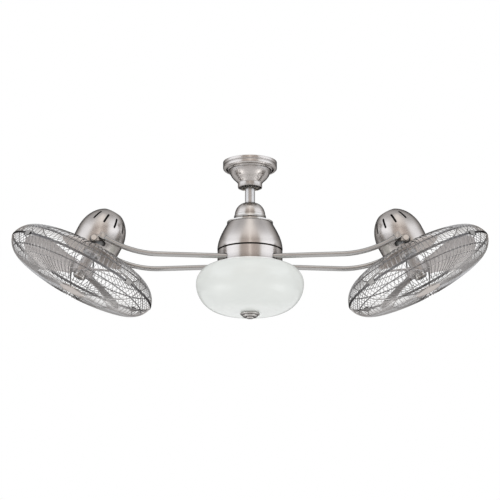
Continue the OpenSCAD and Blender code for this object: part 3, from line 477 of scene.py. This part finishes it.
def arm_mesh():
    """The rear arm of the right head. The other three are its mirror images."""
    line = [(s, 0.0) for s in (0, run * 0.33, run * 0.66, run)]
    line += [(run + BEND_R * sind(a), BEND_R * (1 - cosd(a))) for a in steps(0, BEND, 28)[1:]]
    pts = [(ROOT_X + s * cosd(SPREAD), ROOT_Y + s * sind(SPREAD), -ARM_DROP + h) for s, h in line]
    shaft = tube(pts, ARM_D / 2, 28)
    block = rounded_box((-3, LINK_IN, -KNUCKLE / 2), (KNUCKLE - 3, end_y + ARM_D / 2 + 1, KNUCKLE / 2))
    block = moved(block, Matrix.Translation((end_x + 1, 0, -ARM_DROP + end_rise)) @
                  Matrix.Rotation(math.radians(-BEND), 4, "Y"))
    link_x = end_x + 8
    link = arc((PIVOT_X, -PIVOT_Z), LINK_R, -128, 128, 28)
    link += [(link_x, -PIVOT_Z + LINK_R - 2), (link_x, -PIVOT_Z - LINK_R + 2)]
    return join(shaft, block, slab(link, LINK_IN, LINK_IN + LINK_T))


arm_v, arm_f = arm_mesh()
for side, sx in SIDES:
    for end, sy in (("front", -1), ("rear", 1)):
        v = [(x * sx, y * sy, z) for x, y, z in arm_v]
        piece(f"{end}_{side}_arm_tube", v, arm_f, drawn_nickel, "turning_hub", "brushed_nickel",
              [f"{end}_{side}_arm"], sharp=38)

# ---------------------------------------------------------------- guards

# Thicknesses of the fine wires, hoops, outer hoop, ribs and rims as drawn here, and of the solids' wires,
# hoops and rims, which set where the layers lie
WIRES, WIRE, HOOP, OUTER_HOOP, RIB, RING_D = 96, 1.6, 1.8, 2.8, 2.8, 3.0
CAD_WIRE, CAD_HOOP, CAD_RIM = 2.2, 3.0, 4.0
RIM_R = 197.0           # centre line of the rims
RIM_GAP = 0.1           # from the plane between the guards to either rim
SEAT, RUNNING = 0.3, 0.05
WIRE_END = CAD_RIM + RIM_GAP + SEAT
RIB_LAYER = (CAD_WIRE + CAD_HOOP) / 2 + RUNNING + 1.2
PLATE_LAYER = CAD_WIRE / 2 + 0.3
INSET = 0.25            # the fine wires lie this far inside the centre line of the solids' wires
WELD = 0.1              # wires and hoops sink this far into each other

# A wire bends over a shoulder of radius r, from lean to turn degrees, and goes on over a flatter dome. Then
# come the centre plate's radius and hole, the hoops' radii and where neighbouring wires end.
REAR = dict(r=57.0, lean=16.0, turn=68.0, dome=240.0, plate=84.0, hole=22.0, hoops=(135, 162.6, 182),
            ends=(78, 134))
FRONT = dict(r=50.0, lean=18.0, turn=74.0, dome=484.0, plate=40.0, hole=0.0, hoops=(99, 162.5, 182),
             ends=(34, 98))


def centres(g):
    """The centres of a guard's shoulder arc and dome arc."""
    shoulder = (RIM_R - g["r"] * cosd(g["lean"]), WIRE_END - g["r"] * sind(g["lean"]))
    k = g["r"] - g["dome"]
    return shoulder, (shoulder[0] + k * cosd(g["turn"]), shoulder[1] + k * sind(g["turn"]))


def bent_line(g, depth, inner, reach):
    """A wire's line at a depth in the guard, from reach degrees before its start in to the radius inner."""
    shoulder, dome_at = centres(g)
    last = math.degrees(math.acos((inner - dome_at[0]) / (g["dome"] - depth)))
    line = arc(shoulder, g["r"] - depth, g["lean"] - reach, g["turn"], 9)
    line += arc(dome_at, g["dome"] - depth, g["turn"], last, 8)[1:]
    return [(x, 0, z) for x, z in line]


def height(g, p, depth):
    """The height at radius p of the surface at a depth in the guard."""
    shoulder, dome_at = centres(g)
    r, dome_r = g["r"] - depth, g["dome"] - depth
    if p > shoulder[0] + r * cosd(g["turn"]):
        return shoulder[1] + math.sqrt(r * r - (p - shoulder[0]) ** 2)
    return dome_at[1] + math.sqrt(dome_r ** 2 - max(p - dome_at[0], 0.0) ** 2)


def guard(g):
    """Fine wires with their hoops and ribs, the rim with the outer hoop, and the centre plate."""
    depth = INSET + (WIRE + HOOP) / 2 - WELD
    cage = [hoop(p, height(g, p, depth), HOOP, 128, 9) for p in g["hoops"][:-1]]
    for i in range(WIRES):
        wire = tube(bent_line(g, INSET, g["ends"][i % 2], 1.4), WIRE / 2, 6)
        cage.append(turned(wire, (i + 0.5) * 360 / WIRES))
    rib = tube(bent_line(g, RIB_LAYER, g["plate"] - 6, 1), RIB / 2, 12)
    cage += [turned(rib, (i + 0.5) * 60) for i in range(6)]
    last = g["hoops"][-1]
    rims = [hoop(RIM_R, RING_D / 2 + RIM_GAP, RING_D, 160, 14),
            hoop(last, height(g, last, depth + 0.6), OUTER_HOOP, 144, 10)]
    r, flat = g["plate"], centres(g)[1][1] + g["dome"] - PLATE_LAYER
    plate = [(g["hole"], flat), (r - 0.8, flat), (r, flat - 0.8), (r, flat - 1.6), (r - 0.5, flat - 2),
             (g["hole"], flat - 2)]
    return join(*cage), join(*rims), lathe(plate, 96)


GUARDS = {"rear": guard(REAR), "front": [upside_down(part) for part in guard(FRONT)]}

# ---------------------------------------------------------------- motor shells

# The shell is a dome of SHELL_RISE over its middle, cut off at SHELL_TOP, on a skirt that draws in a little
SHELL_R, SHELL_TOP, SHELL_MID, SHELL_RISE = 62.0, 171.0, 100.0, 78.0
SKIRT_R = SHELL_R - 1.5
FRAME_LOW = centres(REAR)[1][1] + REAR["dome"] - PLATE_LAYER + SEAT
VENTS, VENT_W, VENT_LOW, VENT_HIGH = 12, 5.5, 127.0, 155.0
WINDOW_R, WINDOW_RUN = 12.0, 18.0       # the opening round a pivot bolt and its length towards the arm


def shell_r(h):
    if h > SHELL_MID:
        return SHELL_R * math.sqrt(max(1 - ((h - SHELL_MID) / SHELL_RISE) ** 2, 0))
    return SKIRT_R + (SHELL_R - SKIRT_R) * sind(90 * (h - FRAME_LOW) / (SHELL_MID - FRAME_LOW))


def shell_mesh():
    heights = [SHELL_TOP - (SHELL_TOP - SHELL_MID) * t ** 1.5 for t in steps(0, 1, 44)]
    heights += steps(SHELL_MID, FRAME_LOW + 0.5, 10)[1:]
    wall = [(shell_r(h), h) for h in heights]
    crown = [(wall[0][0] * k / 6, SHELL_TOP) for k in range(6)]
    return lathe(crown + walled(wall, SHEET) + [(0.0, SHELL_TOP - SHEET - 0.4)], 192)


def cutter(verts, faces):
    me = bpy.data.meshes.new("cutter")
    me.from_pydata([(x * MM, y * MM, z * MM) for x, y, z in verts], [], faces)
    tidy_mesh(me, 1e-7)
    ob = bpy.data.objects.new("cutter", me)
    bpy.context.scene.collection.objects.link(ob)
    return ob


def openings():
    """The vents and the windows for the pivot bolts, as solids to cut away."""
    r = VENT_W / 2
    vent = arc((0, VENT_HIGH - r), r, 0, 180, 8) + arc((0, VENT_LOW + r), r, 180, 360, 8)
    vent = prism(vent, 0, SHELL_R + 5)
    end, up = WINDOW_RUN + WINDOW_R, WINDOW_R
    verts, faces = prism(arc((0, PIVOT_H), up, 40, 320, 24) + [
        (end - 3, PIVOT_H - up * 0.5), (end, PIVOT_H - up * 0.3), (end, PIVOT_H + up * 0.3),
        (end - 3, PIVOT_H + up * 0.5)], SHELL_R - 20, SHELL_R + 5)
    windows = [([(a, sign * d, b) for d, a, b in verts], faces) for sign in (1, -1)]
    return join(*(turned(vent, i * 360 / VENTS - 90) for i in range(VENTS)), *windows)


def cut_shell(ob, place, flip):
    """Cuts the openings out of a shell that is already in place."""
    tool = cutter(*openings())
    if flip:
        for vert in tool.data.vertices:
            vert.co.x = -vert.co.x
        tool.data.flip_normals()
    tool.data.transform(place)
    bpy.context.view_layer.update()
    mod = ob.modifiers.new("cut", "BOOLEAN")
    mod.operation = "DIFFERENCE"
    mod.object = tool
    mod.solver = "EXACT"
    deps = bpy.context.evaluated_depsgraph_get()
    made = bpy.data.meshes.new_from_object(ob.evaluated_get(deps))
    ob.modifiers.clear()
    old = ob.data
    ob.data = made
    bpy.data.meshes.remove(old)
    bpy.data.objects.remove(tool)
    made.set_sharp_from_angle(angle=math.radians(30))


# ---------------------------------------------------------------- heads

# The motor's end bell is a thin cap that stands on the motor frame behind the vents. It is coloured near
# black as painted shade, so that the vents read as dark openings.
END_R, END_FOOT, END_TOP, END_ROUND, END_WALL = 44.0, 108.3, 156.0, 12.0, 1.5
end_at = (END_R - END_ROUND, END_TOP - END_ROUND - 2)
end_line = [(0, END_TOP), (20, END_TOP - 0.4)] + arc(end_at, END_ROUND, 75, 0, 10)
end_line += [(END_R, END_FOOT + 6), (END_R + 3, END_FOOT + 5), (END_R + 3, END_FOOT),
             (END_R - END_WALL, END_FOOT)]
end_line += arc(end_at, END_ROUND - END_WALL, 0, 75, 10)
end_line += [(20, END_TOP - END_WALL - 0.4), (0, END_TOP - END_WALL)]
end_bell = lathe(end_line, 72)

shell_mm = shell_mesh()
for side, sx in SIDES:
    place = Matrix.Translation((sx * PIVOT_X * MM, 0, -PIVOT_Z * MM)) @ \
        Matrix.Rotation(math.radians(-sx * TILT), 4, "Y") @ Matrix.Translation((0, 0, -PIVOT_H * MM))
    head, flip = side + "_head", sx > 0
    for end, (cage, rims, plate) in GUARDS.items():
        stem = f"{side}_{end}_"
        hidden = [stem + "guard", stem + "wires"]
        piece(stem + "cage", *cage, wire_nickel, head, "brushed_nickel", hidden, place, 40, flip)
        piece(stem + "rims", *rims, rim_nickel, head, "brushed_nickel", hidden, place, 40, flip)
        piece(stem + "cover_plate", *plate, plate_nickel, head, "brushed_nickel", hidden, place, 30, flip)
    shell = piece(side + "_shell_cover", *shell_mm, head_nickel[sx], head, "brushed_nickel",
                  [side + "_motor_shell"], place, 30, flip)
    cut_shell(shell, place, flip)
    piece(side + "_motor_end_bell", *end_bell, vent_shade_black, head, "motor_can", matrix=place)

# ---------------------------------------------------------------- finishes of the solids that stay

LOOK = {
    "hanger_bracket": zinc, "canopy_screws": bright_nickel, "hanger_ball": nylon, "rod_pins": zinc,
    "downrod": rod_nickel, "motor_coupler": zinc, "frame_bolts": zinc, "core_plate": zinc,
    "hollow_shaft": ground, "gearmotor": black_can, "bearing_inner_rings": ground, "slip_rings": brass,
    "light_pan": enamel, "lamp_holders": porcelain, "lamps": frosted, "bowl_rod": zinc,
    "bowl_washers": rubber, "drive_pinion": brass, "hub_core": seam_shade_cast, "hub_band": band_nickel,
    "ring_gear": brass, "bearing_outer_rings": ground, "bearing_balls": ground, "brush_block": dark_plastic,
    "arm_screws": zinc,
}
for side, sx in SIDES:
    LOOK.update({
        side + "_motor_frame": cast, side + "_pivot_bolts": bright_nickel, side + "_stator": copper,
        side + "_guard_clips": clip_nickel, side + "_rotor_shaft": ground, side + "_blades": blade_nickel,
        side + "_blade_nut": bright_nickel})
for name, mat in LOOK.items():
    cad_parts[name].material_slots[0].material = mat

# ---------------------------------------------------------------- floor

FLOOR_Z, FLOOR_HALF = -7.5, 90
floor_me = bpy.data.meshes.new("floor")
corners = [(sx * FLOOR_HALF, sy * FLOOR_HALF, FLOOR_Z) for sx, sy in ((-1, -1), (1, -1), (1, 1), (-1, 1))]
floor_me.from_pydata(corners, [], [(0, 1, 2, 3)])
floor = bpy.data.objects.new("floor", floor_me)
bpy.context.scene.collection.objects.link(floor)
pale, nodes, links, p = node_tree("pale_floor")
faint = streaks(nodes, links, (1.5, 1.5, 1.5), 3.0, 0.5)
links.new(ramp(nodes, links, faint, [(0.3, 0.86), (0.7, 0.90)]), p.inputs["Base Color"])
p.inputs["Roughness"].default_value = 0.7
floor_me.materials.append(pale)

# ---------------------------------------------------------------- world

# The studio that the metals mirror. AROUND gives its tones from in front of the object, 0, to behind it, 1,
# and RISE how strong they are from straight below, 0, to straight above, 1. Towards the top the tones of
# ABOVE take over by OVERHEAD. The camera itself sees plain white.
AROUND = [
    (0.0, (0.90, 0.86, 0.82)), (0.02, (0.58, 0.53, 0.50)), (0.07, (0.46, 0.41, 0.385)),
    (0.18, (0.42, 0.385, 0.36)), (0.24, (0.91, 0.93, 0.97)), (0.34, (1.02, 1.05, 1.11)),
    (0.52, (0.96, 0.99, 1.05)), (0.62, (0.52, 0.52, 0.53)), (0.75, (0.32, 0.31, 0.31)),
    (0.86, (0.13, 0.13, 0.13)), (0.95, (0.05, 0.05, 0.05))]
RISE = [(0.0, 0.7), (0.47, 0.85), (0.505, 0.35), (0.54, 0.95), (0.70, 1.0), (0.735, 0.6), (0.77, 1.0),
        (1.0, 1.0)]
OVERHEAD = [(0.75, 0.0), (0.94, 0.95)]
ABOVE = [
    (0.0, (0.88, 0.86, 0.85)), (0.14, (0.74, 0.725, 0.72)), (0.26, (0.48, 0.475, 0.48)),
    (0.50, (0.32, 0.32, 0.33)), (0.66, (0.46, 0.46, 0.47)), (1.0, (0.42, 0.42, 0.43))]
STUDIO_STRENGTH = 1.75

world = bpy.data.worlds.new("studio")
bpy.context.scene.world = world
world.use_nodes = True
nodes, links = world.node_tree.nodes, world.node_tree.links
nodes.clear()
out = nodes.new("ShaderNodeOutputWorld")
coord = nodes.new("ShaderNodeTexCoord")
split = nodes.new("ShaderNodeSeparateXYZ")
links.new(coord.outputs["Generated"], split.inputs[0])
x, y, z = split.outputs


def calc(op, *values):
    """A Math node on numbers and other nodes' outputs."""
    n = nodes.new("ShaderNodeMath")
    n.operation = op
    for socket, v in zip(n.inputs, values):
        if isinstance(v, (int, float)):
            socket.default_value = v
        else:
            links.new(v, socket)
    return n.outputs[0]


azimuth = calc("ABSOLUTE", calc("ARCTAN2", x, calc("MULTIPLY", y, -1.0)))
around = calc("DIVIDE", azimuth, math.pi)
lift = calc("ADD", calc("MULTIPLY", z, 0.5), 0.5)
banded = nodes.new("ShaderNodeVectorMath")
banded.operation = "MULTIPLY"
links.new(ramp(nodes, links, around, AROUND), banded.inputs[0])
links.new(ramp(nodes, links, lift, RISE), banded.inputs[1])
mix = nodes.new("ShaderNodeMix")
mix.data_type = "RGBA"
factor, colour_a, colour_b = mix.inputs[0], mix.inputs[6], mix.inputs[7]
links.new(ramp(nodes, links, lift, OVERHEAD), factor)
links.new(banded.outputs[0], colour_a)
links.new(ramp(nodes, links, around, ABOVE), colour_b)
studio = nodes.new("ShaderNodeBackground")
studio.inputs["Strength"].default_value = STUDIO_STRENGTH
links.new(mix.outputs[2], studio.inputs["Color"])
plain = nodes.new("ShaderNodeBackground")
plain.inputs["Color"].default_value = (1, 1, 1, 1)
plain.inputs["Strength"].default_value = 1.0
path = nodes.new("ShaderNodeLightPath")
pick = nodes.new("ShaderNodeMixShader")
links.new(path.outputs["Is Camera Ray"], pick.inputs[0])
links.new(studio.outputs[0], pick.inputs[1])
links.new(plain.outputs[0], pick.inputs[2])
links.new(pick.outputs[0], out.inputs["Surface"])

# ---------------------------------------------------------------- lights


def softbox(name, at, target, size, power):
    """An area light of a size in metres and a power in watts, which no gloss mirrors."""
    light = bpy.data.lights.new(name, "AREA")
    light.shape = "RECTANGLE"
    light.size, light.size_y = size
    light.energy = power
    ob = bpy.data.objects.new(name, light)
    ob.location = at
    ob.rotation_euler = (Vector(target) - Vector(at)).to_track_quat("-Z", "Y").to_euler()
    ob.visible_glossy = False
    bpy.context.scene.collection.objects.link(ob)


FAN = (0, 0, -0.25)
softbox("key_left", (-3.2, -1.6, 1.0), FAN, (2.4, 2.6), 30)
softbox("key_right", (3.2, -1.6, 1.0), FAN, (2.4, 2.6), 30)
softbox("floor_left", (-11.5, -3.0, -4.1), (-11.5, -2.999, FLOOR_Z), (10.1, 6.1), 680)
softbox("floor_right", (11.5, -3.0, -4.1), (11.5, -2.999, FLOOR_Z), (10.1, 6.1), 680)
softbox("fill_low", (0, -3.2, -2.2), FAN, (5.5, 0.8), 22)

# ---------------------------------------------------------------- camera

PHOTO_PX, FOCAL_PX, SENSOR = 500.0, 2653.6, 36.0    # the picture's width and the focal length in pixels
PITCH = 15.31                                       # degrees over the horizon
bpy.context.scene.view_settings.view_transform = "Standard"
cam = bpy.data.cameras.new("camera")
cam.sensor_width = SENSOR
cam.lens = FOCAL_PX / PHOTO_PX * SENSOR
cam.clip_end = 100.0
cam_ob = bpy.data.objects.new("camera", cam)
cam_ob.location = (0, -6.5, -2.0125)
cam_ob.rotation_euler = (math.radians(90 + PITCH), 0, 0)
bpy.context.scene.collection.objects.link(cam_ob)
bpy.context.scene.camera = cam_ob
